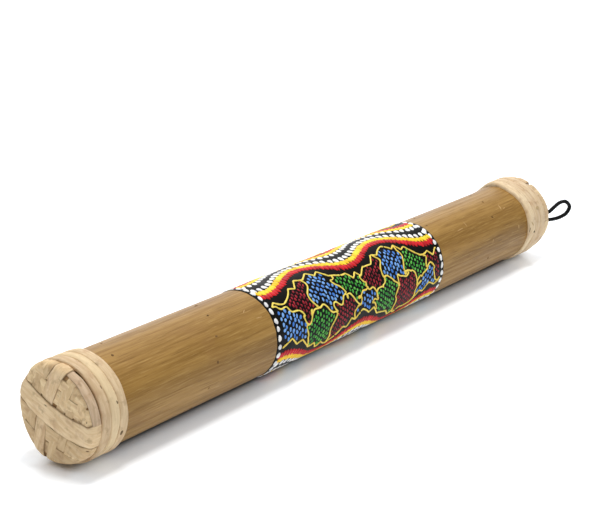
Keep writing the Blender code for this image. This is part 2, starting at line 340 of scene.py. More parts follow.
def cord_look():
    look = Look("black_cord", 0.65, specular=0.15)
    threads = look.noise(look.place(), 2600, detail=3)
    look.set("Base Color", look.blend(threads, srgb(4, 4, 5), srgb(18, 18, 20)))
    look.bump(threads, 0.0001)
    return look.mat


def stone_look():
    look = Look("pebble_stone", 0.5, specular=0.4)
    place = look.place()
    grains = look.noise(place, 900, detail=4)
    veins = look.noise(place, 240, detail=2, distortion=1.2)
    colour = look.blend(look.span(veins, 0.4, 0.6), srgb(132, 124, 112), srgb(176, 168, 152))
    look.set("Base Color", look.blend(look.span(grains, 0.45, 0.3), colour, srgb(88, 82, 76)))
    look.bump(grains, 0.0001)
    return look.mat


def floor_look():
    """A pale floor that glows faintly and bluish as painted light, except close beside and under
    the stick; right below the stick its colour is painted dark as a contact shadow.
    """
    look = Look("studio_floor", 0.28, specular=0.5)
    clouds = look.noise(look.place(), 3, detail=2)
    pale = look.blend(clouds, (0.93, 0.93, 0.935, 1), (0.95, 0.95, 0.95, 1))
    split = look.node("ShaderNodeSeparateXYZ", {0: look.place()})
    aside = look.math('ABSOLUTE', split.outputs["Y"])
    beyond = look.math('ABSOLUTE', split.outputs["X"])
    # Painted shade: the floor's glow fades out close beside and under the stick.
    clear = look.math('MAXIMUM', look.span(aside, 3 * MM, 14 * MM),
                      look.span(beyond, HALF - 4 * MM, HALF + 8 * MM))
    # Painted contact shadow: the floor's colour goes dark right below the stick.
    under = look.math('MAXIMUM', look.span(aside, 4.0 * MM, 7.0 * MM),
                      look.span(beyond, HALF - 14 * MM, HALF - 8 * MM))
    look.set("Base Color", look.blend(under, (0.08, 0.06, 0.055, 1), pale))
    # Painted light: a faint bluish glow from the floor, which lifts its shadows.
    look.set("Emission Color", (0.72, 0.86, 1.0, 1))
    look.set("Emission Strength", look.math('MULTIPLY', clear, 0.25))
    return look.mat


# ---- mesh building

def around(x, angle, radius):
    """Points around the tube's axis: place along X, angle in degrees and distance from it."""
    turn = np.radians(angle)
    y, z = -radius * np.cos(turn), AXIS_Z + radius * np.sin(turn)
    return np.stack(np.broadcast_arrays(x, y, z), axis=-1)


def full_turn(count):
    """Angles evenly spread over a whole turn."""
    return np.linspace(0, 360, count, endpoint=False)


def ripple(seed, *wavelengths):
    """A smooth random function of one variable, within -1 and 1."""
    phases = np.random.default_rng(seed).uniform(0, 2 * math.pi, len(wavelengths))

    def value(t):
        total = 0
        for wavelength, phase in zip(wavelengths, phases):
            total = total + np.sin(2 * math.pi * np.asarray(t) / wavelength + phase)
        return total / len(wavelengths)

    return value


def outfit(mesh, angle=50):
    """Turns the faces outwards and shades them smooth up to an angle."""
    bm = bmesh.new()
    bm.from_mesh(mesh)
    bmesh.ops.recalc_face_normals(bm, faces=bm.faces)
    bm.to_mesh(mesh)
    bm.free()
    mesh.shade_smooth()
    mesh.set_sharp_from_angle(angle=math.radians(angle))


def add_piece(name, mesh, mat, replaces=(), body=STICK):
    """Adds a visible piece that rides on a body and may replace nodes of the design."""
    obj = new_object(name, mesh)
    mesh.materials.append(mat)
    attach(obj, body)
    if replaces:
        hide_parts(*replaces)
    return obj


def off_edge(share, count):
    """Tints for rings over a section that runs from 0 to 1: 0 at both edges, 1 inside; a low tint
    paints shade along a rattan edge.
    """
    return np.tile(np.clip(np.minimum(share, 1 - share) / 0.14, 0, 1), count)


class Shells:
    """Closed shells that together make one piece, with their fibre coordinates and tints."""

    def __init__(self):
        self.verts = []
        self.faces = []
        self.grain = []
        self.tint = []
        self.count = 0

    def add(self, verts, faces, grain=None, tint=0.5):
        verts = np.asarray(verts, float).reshape(-1, 3)
        self.verts.append(verts)
        self.faces += [[self.count + i for i in face] for face in faces]
        self.grain.append(np.zeros((len(verts), 3)) if grain is None else grain.reshape(-1, 3))
        self.tint.append(np.zeros(len(verts)) + tint)
        self.count += len(verts)

    def add_rings(self, rings, grain=None, tint=0.5, closed=False):
        """A shell through rings of points, with flat ends unless it closes on itself."""
        rings = np.array(rings)
        rows, sides = rings.shape[:2]
        faces = []
        for i in range(rows if closed else rows - 1):
            here, there = i * sides, (i + 1) % rows * sides
            for j in range(sides):
                k = (j + 1) % sides
                faces.append([here + j, here + k, there + k, there + j])
        if not closed:
            faces.append(list(range(sides))[::-1])
            faces.append([(rows - 1) * sides + j for j in range(sides)])
        self.add(rings, faces, grain, tint)

    def mesh(self, name, angle=50):
        """All shells as one mesh; nothing dips below the floor."""
        mesh = bpy.data.meshes.new(name)
        verts = np.concatenate(self.verts)
        verts[:, 2] = np.maximum(verts[:, 2], 0)
        mesh.from_pydata(verts.tolist(), [], self.faces)
        outfit(mesh, angle)
        grain = mesh.attributes.new("grain", 'FLOAT_VECTOR', 'POINT')
        grain.data.foreach_set("vector", np.concatenate(self.grain).ravel())
        tint = mesh.attributes.new("tint", 'FLOAT', 'POINT')
        tint.data.foreach_set("value", np.concatenate(self.tint))
        return mesh

    def add_piece(self, name, mat, slot, replaces=(), angle=50):
        return add_piece(name, self.mesh(name, angle), mat, replaces)


def add_shell(name, rings, mat, slot, replaces=(), angle=50, **extra):
    """A piece that is one shell through rings of points."""
    shells = Shells()
    shells.add_rings(rings, **extra)
    return shells.add_piece(name, mat, slot, replaces, angle)


# ---- hanging loop

CORD_R = 1.2 * MM
CORD_POINT_SPACING = 4.8 * MM
LOOP_LEAN = 25
CORD_SIDES = 16
FINE_SPACING = 0.45 * MM
# The design's route, in millimetres: distance out from the end face and height above the axis
LOOP_ROUTE = (
    (-12.3, 1.45), (-4, 1.45), (3, 1.35), (12, -0.6), (20, -2.2), (26, -1.6),
    (31, 1.7), (35.5, 3.6), (39.5, 2.7), (41.8, -0.8), (39.4, -4.4), (34, -6.4),
    (26.5, -6.9), (18, -5.6), (9, -3.0), (2, -1.65), (-4, -1.45), (-12.3, -1.45),
)


def loop_point(out, height):
    """A route point: straight out of the end face, then leaning towards -Y."""
    lean = math.radians(LOOP_LEAN)
    ease = min(max(out / (12 * MM), 0), 1)
    sideways = max(out, 0) * math.sin(lean) * ease
    forwards = out if out < 0 else out * (1 + ease * (math.cos(lean) - 1))
    return Vector((HALF + forwards, -sideways, AXIS_Z + height))


def smooth_route(points, spacing):
    """Points a steady distance apart on a Catmull-Rom curve through a route."""
    ends = [2 * points[0] - points[1]] + points + [2 * points[-1] - points[-2]]
    fine = []
    steps = 24
    for i in range(1, len(ends) - 2):
        a, b, c, d = ends[i - 1:i + 3]
        for step in range(steps):
            t = step / steps
            fine.append(0.5 * (2 * b + (c - a) * t + (2 * a - 5 * b + 4 * c - d) * t ** 2
                               + (3 * b - a - 3 * c + d) * t ** 3))
    fine.append(points[-1])
    lengths = [0]
    for before, after in zip(fine, fine[1:]):
        lengths.append(lengths[-1] + (after - before).length)
    count = round(lengths[-1] / spacing)
    route = []
    index = 0
    for k in range(count + 1):
        goal = lengths[-1] * k / count
        while index < len(fine) - 2 and lengths[index + 1] < goal:
            index += 1
        span = lengths[index + 1] - lengths[index]
        route.append(fine[index].lerp(fine[index + 1], (goal - lengths[index]) / span))
    return route


def braided_rings(path, radius, closed=False):
    """Rings of a cord along a path, with the low diagonal ridges of its braid."""
    ridges = 4
    lay = 3.4 * MM
    depth = 0.06
    rings = []
    normal = None
    travelled = 0
    count = len(path)
    for i, point in enumerate(path):
        after = path[(i + 1) % count] if closed else path[min(i + 1, count - 1)]
        before = path[i - 1] if closed or i else path[0]
        tangent = (after - before).normalized()
        if normal is None:
            normal = tangent.orthogonal()
        normal = (normal - tangent * normal.dot(tangent)).normalized()
        side = tangent.cross(normal)
        ring = []
        for k in range(CORD_SIDES):
            turn = 2 * math.pi * k / CORD_SIDES
            phase = 2 * math.pi * travelled / lay
            weave = math.cos(ridges * turn + phase) * math.cos(ridges * turn - phase)
            r = radius * (1 - depth / 2 + depth * weave)
            ring.append(point + normal * r * math.cos(turn) + side * r * math.sin(turn))
        rings.append(ring)
        travelled += (after - point).length
    return rings


def make_loop(mat):
    """The hanging loop: one cord whose two ends run through the rear cap to the knot."""
    marks = [loop_point(out * MM, height * MM) for out, height in LOOP_ROUTE]
    route = smooth_route(marks, CORD_POINT_SPACING)
    fine = smooth_route(route, FINE_SPACING)
    rings = braided_rings(fine, CORD_R)
    loop = add_shell("cord_loop", rings, mat, "cord", ["hanging_loop"], 80)
    knot = make_knot(mat)


def make_knot(mat):
    """An overhand knot: the cord follows a trefoil."""
    low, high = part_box("loop_knot")
    centre = (low + high) / 2
    reach = (high - low) / 2
    steps = 150
    path = []
    for step in range(steps):
        t = 2 * math.pi * step / steps
        across = (math.cos(t) - 2 * math.cos(2 * t)) / 3
        up = (math.sin(t) + 2 * math.sin(2 * t)) / 3
        along = -math.sin(3 * t)
        path.append(centre + Vector((along * (reach.x - CORD_R), across * (reach.y - CORD_R),
                                     up * (reach.z - CORD_R))))
    rings = braided_rings(path, CORD_R, closed=True)
    return add_shell("cord_knot", rings, mat, "cord", ["loop_knot"], 80, closed=True)


# ---- bamboo tube and pins

def flared(x, rear):
    """Radius of the tube at x, where it flares towards its rear edge."""
    return TUBE_R + FLARE * max(0, (x - rear + FLARE_LENGTH) / FLARE_LENGTH) ** 1.5


def make_skin(mat):
    """The bamboo tube as one closed wall: a slightly uneven culm with its smooth bore."""
    end_x = HALF - TUBE_END_INSET
    tucked = 1.2 * MM
    step = 0.2 * MM
    front = FRONT_EDGE - tucked
    rear = REAR_EDGE + tucked
    outside = [(-end_x, SHAVED_R), (front - step, SHAVED_R), (front, TUBE_R)]
    for x in np.linspace(front, rear, 150)[1:-1]:
        outside.append((x, flared(x, rear)))
    outside += [(rear, TUBE_R + FLARE), (rear + step, SHAVED_R), (end_x, SHAVED_R)]
    inside = [(x, BORE_R) for x in np.linspace(end_x, -end_x, 40)]
    turns = full_turn(180)
    bulge = ripple(3, 180, 120, 72)
    drift = ripple(4, 310 * MM, 140 * MM)
    out_of_round = 0.1 * MM
    rings = []
    for x, radius in outside + inside:
        r = radius + out_of_round * bulge(turns + 25 * drift(x)) * (radius > SHAVED_R)
        rings.append(around(x, turns, r))
    add_shell("bamboo_skin", rings, mat, "bamboo", ["bamboo_tube"], 40, closed=True)


PIN_STEP = 5.25 * MM
PIN_TURN = 30
PIN_FIRST_X = -169.8 * MM
PIN_FIRST_ANGLE = 70
PIN_TOTAL = 64
PIN_R = 1.0 * MM
PIN_TIP_R = 16.5 * MM
PIN_SIDES = 14
# A pin from its tip to its head: (distance from the axis, share of its thickness)
PIN_PROFILE = (
    (-PIN_TIP_R, 0.35), (-PIN_TIP_R + 0.6 * MM, 0.75), (0, 0.88),
    (TUBE_R - 0.9 * MM, 1.0), (TUBE_R - 0.8 * MM, 0.95),
)


def pin_place(number):
    """Place along X and angle of a pin of the helix."""
    return PIN_FIRST_X + number * PIN_STEP, PIN_FIRST_ANGLE + number * PIN_TURN


def make_pins_between(mat):
    """The other half of the helix of pins, between those that are nodes of their own."""
    shells = Shells()
    for number in range(1, PIN_TOTAL, 2):
        x, angle = pin_place(number)
        spot = around(0, angle, 1)
        out = Vector((0, spot[1], spot[2] - AXIS_Z))
        side = Vector((0, -out.z, out.y))
        rings = []
        for r, thick in PIN_PROFILE:
            ring = []
            for k in range(PIN_SIDES):
                turn = 2 * math.pi * k / PIN_SIDES
                flat = 1 + 0.06 * math.cos(2 * turn + number)
                spoke = Vector((math.cos(turn), 0, 0)) + side * math.sin(turn)
                ring.append(Vector((x, 0, AXIS_Z)) + out * r + spoke * PIN_R * thick * flat)
            rings.append(ring)
        shells.add_rings(rings)
    shells.add_piece("rain_pins_between", mat, "pin_wood")


def make_pin_ends(mat):
    """The cut ends of the pins, which show in the bamboo as small dark spots."""
    rng = np.random.default_rng(8)
    shells = Shells()
    clear = 1.6 * MM
    for number in range(PIN_TOTAL):
        x, angle = pin_place(number)
        bare = (FRONT_EDGE + clear < x < BAND_FRONT - clear
                or BAND_REAR + clear < x < REAR_EDGE - clear)
        if bare:
            radius = flared(x, REAR_EDGE)
            stray = rng.normal(0, 0.25 * MM, 2)
            place = (x + stray[0], math.radians(angle) * radius + stray[1])
            half = np.array((0.95 * MM, 0.7 * MM)) * rng.uniform(0.7, 1.1, 2)
            add_dabs(shells, [place], [half], [rng.normal(0, 0.5)], [0.16 * MM], rng, radius)
    shells.add_piece("pin_ends", mat, "pin_wood")


MARK_HEIGHT = 0.15 * MM


def make_marks(name, marks, radius, mat, slot, seed, cap=None):
    """Low marks on the side of the tube, or of a cap that has its own bulge."""
    rng = np.random.default_rng(seed)
    shells = Shells()
    for x, angle, long, short, slant in marks:
        level = radius + (cap.bulge(angle) if cap else 0)
        place = (x * MM, math.radians(angle) * level)
        half = (long * MM, short * MM)
        add_dabs(shells, [place], [half], [math.radians(slant)], [MARK_HEIGHT], rng, level)
    shells.add_piece(name, mat, slot)


# Marks: x in mm, angle, half length and half width in mm, slant in degrees
SCARS = (
    (112, 47, 2.2, 0.35, 95),
    (104.5, 42, 3.4, 0.3, 4),
    (153.5, 50, 2.0, 0.35, 80),
    (156.5, 46, 1.4, 0.3, 10),
    (133, 6, 1.5, 0.35, 60),
    (164, 10, 1.6, 0.4, 85),
    (-86.5, 55, 1.6, 0.2, 30),
    (-80.5, 40, 2.4, 0.2, -5),
)
FRONT_KNOTS = (
    (-181.1, -20, 0.8, 1.3, 0),
    (-183.6, 17, 0.3, 0.8, 10),
)
REAR_KNOTS = (
    (179.6, -6, 1.1, 0.7, -15),
    (173.2, 0, 0.35, 1.6, -30),
)
REAR_FADED_KNOTS = (
    (185.1, 26, 1.9, 1.0, 0),
    (176, 8, 1.8, 0.5, -50),
    (185, 62, 0.4, 1.8, 0),
)


def make_all_marks():
    """Pin ends and scars in the bamboo, and knots in the rattan."""
    pin_look = mark_look("pin_end_wood", srgb(84, 58, 34), srgb(136, 104, 66))
    scar_look = mark_look("scar_bamboo", srgb(176, 140, 90), srgb(200, 166, 116))
    knot_look = mark_look("knot_wood", srgb(84, 68, 48), srgb(130, 106, 76))
    faded_look = mark_look("faded_knot_wood", srgb(160, 134, 98), srgb(194, 168, 128))
    make_pin_ends(pin_look)
    make_marks("bamboo_scars", SCARS, TUBE_R, scar_look, "bamboo", 12)
    turn_top = TURN_R - 0.05 * MM
    make_marks("front_knots", FRONT_KNOTS, turn_top, knot_look, "rattan_turn", 5, FRONT_CAP)
    make_marks("rear_knots", REAR_KNOTS, turn_top, knot_look, "rattan_turn", 6, REAR_CAP)
    make_marks("rear_faded_knots", REAR_FADED_KNOTS, turn_top, faded_look, "rattan_turn", 7,
               REAR_CAP)


# ---- dabs and strokes of paint

DAB_SIDES = 12
# (share of the outline, share of the height) from the top of a dab to its sunk foot
DAB_PROFILE = ((0.45, 0.92), (0.8, 0.62), (1.0, -0.25))


def add_dabs(shells, places, halves, slants, heights, rng, radius=BAND_R, taper=0.0):
    """Domes of paint on the tube: places are (x, arc length), halves (long, short) sizes."""
    spokes = np.linspace(0, 2 * math.pi, DAB_SIDES, endpoint=False)
    count = len(DAB_PROFILE)
    faces = []
    for j in range(DAB_SIDES):
        k = (j + 1) % DAB_SIDES
        faces.append([0, 1 + j, 1 + k])
        for ring in range(count - 1):
            here, there = 1 + ring * DAB_SIDES, 1 + (ring + 1) * DAB_SIDES
            faces.append([here + j, there + j, there + k, here + k])
    faces.append([1 + (count - 1) * DAB_SIDES + j for j in range(DAB_SIDES)])
    for (x, s), (long, short), slant, height in zip(places, halves, slants, heights):
        first, second = rng.uniform(0, 2 * math.pi, 2)
        outline = 1 + 0.07 * np.cos(2 * spokes + first) + 0.06 * np.cos(3 * spokes + second)
        along = long * np.cos(spokes) * outline
        across = short * np.sin(spokes) * outline * (1 - taper * np.cos(spokes))
        flat = [(0.0, 0.0, 1.0)]
        for share, level in DAB_PROFILE:
            flat += [(a * share, b * share, level) for a, b in zip(along, across)]
        flat = np.array(flat)
        cos, sin = math.cos(slant), math.sin(slant)
        px = x + flat[:, 0] * cos - flat[:, 1] * sin
        ps = s + flat[:, 0] * sin + flat[:, 1] * cos
        points = around(px, np.degrees(ps / radius), radius + flat[:, 2] * height)
        shells.add(points, faces, tint=rng.uniform(0, 1))


def resample(line, spacing):
    """Points a steady distance apart along a line of (x, arc length) points."""
    line = np.asarray(line, float)
    steps = np.linalg.norm(np.diff(line, axis=0), axis=1)
    reach = np.concatenate([[0], np.cumsum(steps)])
    count = max(3, round(reach[-1] / spacing) + 1)
    goals = np.linspace(0, reach[-1], count)
    return np.stack([np.interp(goals, reach, line[:, axis]) for axis in (0, 1)], axis=1)


STROKE_STEP = 0.55
# A stroke's section: (share of its half width, share of its height)
STROKE_SECTION = ((-1, -0.2), (-0.72, 0.55), (0, 1), (0.72, 0.55), (1, -0.2))


def add_stroke(shells, line, width, height, rng, end_blob=1.25):
    """A raised line of paint with an uneven width and round ends."""
    line = resample(line, STROKE_STEP * MM)
    tangents = np.gradient(line, axis=0)
    tangents /= np.linalg.norm(tangents, axis=1)[:, None]
    normals = np.stack([-tangents[:, 1], tangents[:, 0]], axis=1)
    travelled = np.arange(len(line)) * STROKE_STEP
    uneven = ripple(int(rng.integers(1000)), 5.3, 9.1, 3.1)(travelled)
    reach = travelled[-1]
    from_end = np.minimum(travelled, reach - travelled)
    swell = 1 + 0.22 * uneven + (end_blob - 1) * np.exp(-(from_end / 1.2) ** 2)
    round_off = np.sqrt(np.clip(1 - (1 - np.clip(from_end / 0.8, 0, 1)) ** 2, 0.02, 1))
    half = width / 2 * swell * round_off
    rings = []
    for (x, s), (nx, ns), h, lift in zip(line, normals, half, swell * round_off):
        ring = []
        for across, level in STROKE_SECTION:
            angle = math.degrees((s + ns * across * h) / BAND_R)
            ring.append(around(x + nx * across * h, angle,
                               BAND_R + level * height * max(0.3, lift)))
        rings.append(ring)
    shells.add_rings(rings, tint=rng.uniform(0.3, 0.8))


# ---- design of the band

DEGREE = math.radians(1) * BAND_R
WAVE_LENGTH = 66.2 * MM
WAVE_PEAK_X = 34 * MM
MARGIN = 2.2 * MM
PATTERN_X = (BAND_FRONT + 4.2 * MM, BAND_REAR - 4.0 * MM)


def wave(x):
    """1 at the crests and -1 in the troughs of the waves along the band."""
    return np.cos(2 * math.pi * (np.asarray(x) - WAVE_PEAK_X) / WAVE_LENGTH)


def upper_wave(x):
    """Lower edge of the wave group over the top, as arc length."""
    along = np.asarray(x) / MM
    fall = 0.07 * along + 0.0018 * np.maximum(along, 0) ** 2
    return (65 + 12.5 * wave(x) - fall) * DEGREE


def lower_wave(x):
    """Upper edge of the wave group below, as arc length."""
    return (-34 - 13 * wave(x) - 0.08 * np.asarray(x) / MM) * DEGREE


# Strands of a wave group: colour, distance of the middle from the edge in degrees of the
# tube, half sizes and spacing of the dabs in millimetres
STRANDS = (
    ("red", 4.0, (2.2, 1.35), 2.45),
    ("yellow", 11.5, (2.1, 1.3), 2.45),
    ("white", 19.8, (1.85, 1.4), 4.1),
    ("white", 36.2, (1.85, 1.4), 4.1),
    ("yellow", 44.5, (2.1, 1.3), 2.45),
    ("red", 52.0, (2.2, 1.35), 2.45),
)
# Distance from the edge past which a group's dabs lean the other way, and their lean
GROUP_MIDDLE = 28
DAB_LEAN = 58


def add_wave_group(paints, edge, side, rng):
    """Rows of overlapping slanted dabs that follow an edge; side is +1 upwards, -1 down."""
    fine_x = np.linspace(*PATTERN_X, 400)
    for colour, distance, half, spacing in STRANDS:
        line = np.stack([fine_x, edge(fine_x) + side * distance * DEGREE], axis=1)
        places = resample(line, spacing * MM)
        heading = np.arctan2(*np.gradient(places, axis=0).T[::-1])
        outward = 1 if distance > GROUP_MIDDLE else -1
        lean = math.radians(DAB_LEAN) * side * outward
        slants = heading + lean + rng.normal(0, 0.1, len(places))
        places = places + rng.normal(0, 0.12 * MM, places.shape)
        halves = np.array(half) * MM * rng.uniform(0.88, 1.12, (len(places), 2))
        heights = rng.uniform(0.26, 0.36, len(places)) * MM
        add_dabs(paints[colour], places, halves, slants, heights, rng, taper=0.4)


def zigzag(seed):
    """A pointed wave along X, within -1 and 1, with an uneven period."""
    stray = ripple(seed, 38 * MM, 23 * MM)
    period = 10.5 * MM

    def value(x):
        x = np.asarray(x)
        phase = x / period + 0.35 * stray(x)
        return 1 - 4 * np.abs(phase - np.floor(phase + 0.5))

    return value


def clip(polygon, point, normal, label):
    """The part of a labelled polygon on the side of a line that its normal points away from."""
    kept = []
    count = len(polygon)
    for i in range(count):
        (here, edge), (there, _) = polygon[i], polygon[(i + 1) % count]
        a = np.dot(here - point, normal)
        b = np.dot(there - point, normal)
        if a <= 0:
            kept.append((here, edge))
        if a * b < 0:
            crossing = here + (there - here) * (a / (a - b))
            kept.append((crossing, label if a <= 0 else edge))
    return kept


# Furthest shifts of a cell's outline along the band and round it
CELL_SHIFT = (4.2 * MM, 3.0 * MM)
# Length at each end of the pattern over which the shift along the band fades out
STIFF_END = 6 * MM
OUTLINE_WIDTH = 0.92 * MM
OUTLINE_GAP = 0.45 * MM
BORDER_WIDTH = 0.95 * MM
LINE_HEIGHT = 0.42 * MM


class CellField:
    """Uneven cells between two lines along the band, filled with rows of dabs."""

    def __init__(self, low, high, rows, pitch, first_x, seed):
        self.low = low
        self.high = high
        self.rng = np.random.default_rng(seed)
        self.warps = [ripple(seed + i, *waves) for i, waves in enumerate(
            [(17, 11, 7.5), (23, 14), (15, 10, 6.5), (19, 12)])]
        xs = np.linspace(*PATTERN_X, 50)
        self.tall = float(np.mean(high(xs) - low(xs)))
        self.seeds = []
        self.colours = []
        order = ("blue", "dark_red", "green")
        columns = int((PATTERN_X[1] - PATTERN_X[0]) / pitch) + 2
        for row in range(rows):
            for column in range(columns):
                x = first_x + (column + 0.5 * (row % 2)) * pitch
                x += self.rng.uniform(-0.09, 0.09) * pitch
                t = (row + 0.5) / rows + self.rng.uniform(-0.07, 0.07)
                if PATTERN_X[0] - 2 * MM < x < PATTERN_X[1] + 2 * MM:
                    self.seeds.append(np.array((x, t * self.tall)))
                    self.colours.append(order[(2 * column + row % 2) % 3])

    def polygon(self, index):
        """A cell as (corner, label of the edge that follows); labels under 0 are the frame."""
        left, right = PATTERN_X
        corners = [(left, 0), (right, 0), (right, self.tall), (left, self.tall)]
        cell = [(np.array(c), -1 - i) for i, c in enumerate(corners)]
        here = self.seeds[index]
        for other, there in enumerate(self.seeds):
            if other != index:
                cell = clip(cell, (here + there) / 2, there - here, other)
        return cell

    def lay(self, line):
        """Carries points from the field's own rectangle to wavy places on the band."""
        line = resample(line, 0.5 * MM)
        x, up = line[:, 0], line[:, 1] / self.tall
        hold = np.clip(4.5 * up * (1 - up), 0, 1)
        a, b = line[:, 0] / MM, line[:, 1] / MM
        shift_x = self.warps[0](b + 0.6 * a) + 0.6 * self.warps[1](a * 0.8 - b)
        shift_s = self.warps[2](a + 0.5 * b) + 0.6 * self.warps[3](b * 0.9 - a)
        room = np.minimum(x - PATTERN_X[0], PATTERN_X[1] - x)
        free = np.clip(room / STIFF_END, 0, 1)
        x = x + hold * free * shift_x * CELL_SHIFT[0]
        s = self.low(x) + (self.high(x) - self.low(x)) * up + hold * shift_s * CELL_SHIFT[1]
        return np.stack([np.clip(x, *PATTERN_X), s], axis=1)

    def paint(self, paints):
        """Outlines and fills every cell, and draws the two borders of the field."""
        for index, colour in enumerate(self.colours):
            cell = self.polygon(index)
            outline = []
            for i, (corner, label) in enumerate(cell):
                edge = self.lay([corner, cell[(i + 1) % len(cell)][0]])
                outline.append(edge)
                if label > index:
                    add_stroke(paints["line"], edge, OUTLINE_WIDTH, LINE_HEIGHT, self.rng, 1.6)
            self.fill(paints[colour], np.concatenate(outline), *CELL_DABS[colour])
        self.add_border(paints, self.low)
        self.add_border(paints, self.high)

    def add_border(self, paints, border):
        """A border line, painted in a few strokes."""
        x = np.linspace(*PATTERN_X, 500)
        line = np.stack([x, border(x)], axis=1)
        cuts = np.sort(self.rng.uniform(0.1, 0.9, 3) * len(x)).astype(int)
        for part in np.split(line, cuts):
            if len(part) > 12:
                add_stroke(paints["line"], part, BORDER_WIDTH, LINE_HEIGHT, self.rng)

    def fill(self, shells, outline, long, short, spacing):
        """Slanted dabs in offset rows inside an outline, clear of its line."""
        half = np.array((long, short)) * MM
        pitch = spacing * MM
        low, high = outline.min(axis=0), outline.max(axis=0)
        rng = self.rng
        slant = math.radians(90 + rng.uniform(-28, 28))
        row_step = pitch * 0.84
        dab_step = pitch * 1.1
        places = []
        for i, x in enumerate(np.arange(low[0], high[0], row_step)):
            ups = np.arange(low[1], high[1], dab_step) + (i % 2) * dab_step / 2
            places += [(x, s) for s in ups]
        places = np.array(places) + rng.normal(0, 0.08 * pitch, (len(places), 2))
        inside = within(places, outline)
        near = np.linalg.norm(places[:, None] - outline[None], axis=2).min(axis=1)
        keep = inside & (near > half[0] * 0.62 + OUTLINE_GAP)
        places = places[keep]
        if not len(places):
            return
        count = len(places)
        slants = slant + rng.normal(0, 0.3, count)
        halves = half * rng.uniform(0.8, 1.18, (count, 2))
        add_dabs(shells, places, halves, slants, rng.uniform(0.2, 0.3, count) * MM, rng)


# Half length, half width and spacing of the dabs in each kind of cell, in millimetres
CELL_DABS = {
    "blue": (1.2, 0.78, 2.75),
    "dark_red": (0.98, 0.62, 2.35),
    "green": (1.02, 0.68, 2.45),
}


def within(places, outline):
    """Which places lie inside a closed outline."""
    x, s = places[:, 0:1], places[:, 1:2]
    ax, ay = outline[:, 0], outline[:, 1]
    bx, by = np.roll(ax, -1), np.roll(ay, -1)
    crosses = (ay > s) != (by > s)
    with np.errstate(divide='ignore', invalid='ignore'):
        at = ax + (s - ay) / (by - ay) * (bx - ax)
    return (np.sum(crosses & (x < at), axis=1) % 2).astype(bool)


# Dots in the row along each edge of the band
MARGIN_DOTS = 31


def add_margin_dots(paints, rng):
    """One row of white dots around each edge of the band."""
    count = MARGIN_DOTS
    for x in (BAND_FRONT + MARGIN, BAND_REAR - MARGIN):
        angles = 5 + np.arange(count) * 360 / count + rng.normal(0, 0.5, count)
        places = np.stack([x + rng.normal(0, 0.12 * MM, count), angles * DEGREE], axis=1)
        halves = np.array((1.7 * MM, 1.25 * MM)) * rng.uniform(0.85, 1.15, (count, 2))
        slants = math.radians(90) + rng.normal(0, 0.12, count)
        add_dabs(paints["white"], places, halves, slants, np.full(count, 0.42 * MM), rng)


def make_coat(mat):
    """The black ground coat: a thin sleeve with soft uneven edges."""
    front, rear = BAND_FRONT, BAND_REAR
    turns = full_turn(240)
    ragged = ripple(11, 90, 51, 23, 13)
    edge = 0.5 * MM
    inner = TUBE_R - 0.35 * MM
    rings = []
    outside = [(front + 0.05 * MM, inner), (front, TUBE_R), (front + edge, BAND_R - 0.03 * MM)]
    outside += [(x, BAND_R) for x in np.linspace(front + 2 * edge, rear - 2 * edge, 90)]
    outside += [(rear - edge, BAND_R - 0.03 * MM), (rear, TUBE_R), (rear - 0.05 * MM, inner)]
    outside += [(x, inner) for x in np.linspace(rear - 1 * MM, front + 1 * MM, 12)]
    for x, r in outside:
        near_edge = math.exp(-(min(x - front, rear - x) / (2 * MM)) ** 2)
        shift = 0.25 * MM * near_edge * ragged(turns + (90 if x > 0 else 0))
        rings.append(around(x + shift * (1 if x < 0 else -1), turns, r))
    add_shell("band_coat", rings, mat, "paint", ["painted_band"], 40, closed=True)


# Light and dark colour of each paint
PAINT_COLOURS = {
    "white": ((250, 250, 248), (225, 225, 226)),
    "yellow": ((255, 222, 58), (250, 196, 36)),
    "line": ((250, 226, 104), (236, 200, 78)),
    "red": ((212, 32, 40), (176, 20, 30)),
    "blue": ((124, 175, 238), (66, 126, 214)),
    "green": ((95, 190, 77), (46, 148, 52)),
    "dark_red": ((176, 36, 52), (126, 20, 36)),
}


def make_band():
    """The painted band: its coat, the margins, two wave groups and two fields of cells."""
    make_coat(coat_look())
    paints = {name: Shells() for name in PAINT_COLOURS}
    rng = np.random.default_rng(21)
    add_margin_dots(paints, rng)
    add_wave_group(paints, upper_wave, 1, rng)
    add_wave_group(paints, lower_wave, -1, rng)
    gap = 11 * DEGREE
    group = 57 * DEGREE
    tooth = 4 * DEGREE
    whole_turn = 360 * DEGREE
    front_top, front_low, back_low, back_top = (zigzag(seed) for seed in (31, 32, 33, 34))
    CellField(lambda x: lower_wave(x) + gap + tooth * front_low(x),
              lambda x: upper_wave(x) - gap + tooth * front_top(x),
              2, 19.6 * MM, -57 * MM, 41).paint(paints)
    CellField(lambda x: upper_wave(x) + group + gap + tooth * back_low(x),
              lambda x: lower_wave(x) - group - gap + whole_turn + tooth * back_top(x),
              3, 20.5 * MM, -64 * MM, 57).paint(paints)
    for name, shells in paints.items():
        light, dark = PAINT_COLOURS[name]
        look = paint_look(f"{name}_paint", srgb(*light), srgb(*dark))
        shells.add_piece(f"paint_{name}", look, "paint", angle=60)


# ---- rattan caps

REACH = 21 * MM
EDGE_LINE = 20.3 * MM


def bump_at(angle, middle, width):
    """A smooth bump of height 1 over angles, in degrees, within width of its middle."""
    away = np.abs((np.asarray(angle) - middle + 180) % 360 - 180) / width
    return np.where(away < 1, 0.5 + 0.5 * np.cos(math.pi * np.minimum(away, 1)), 0.0)


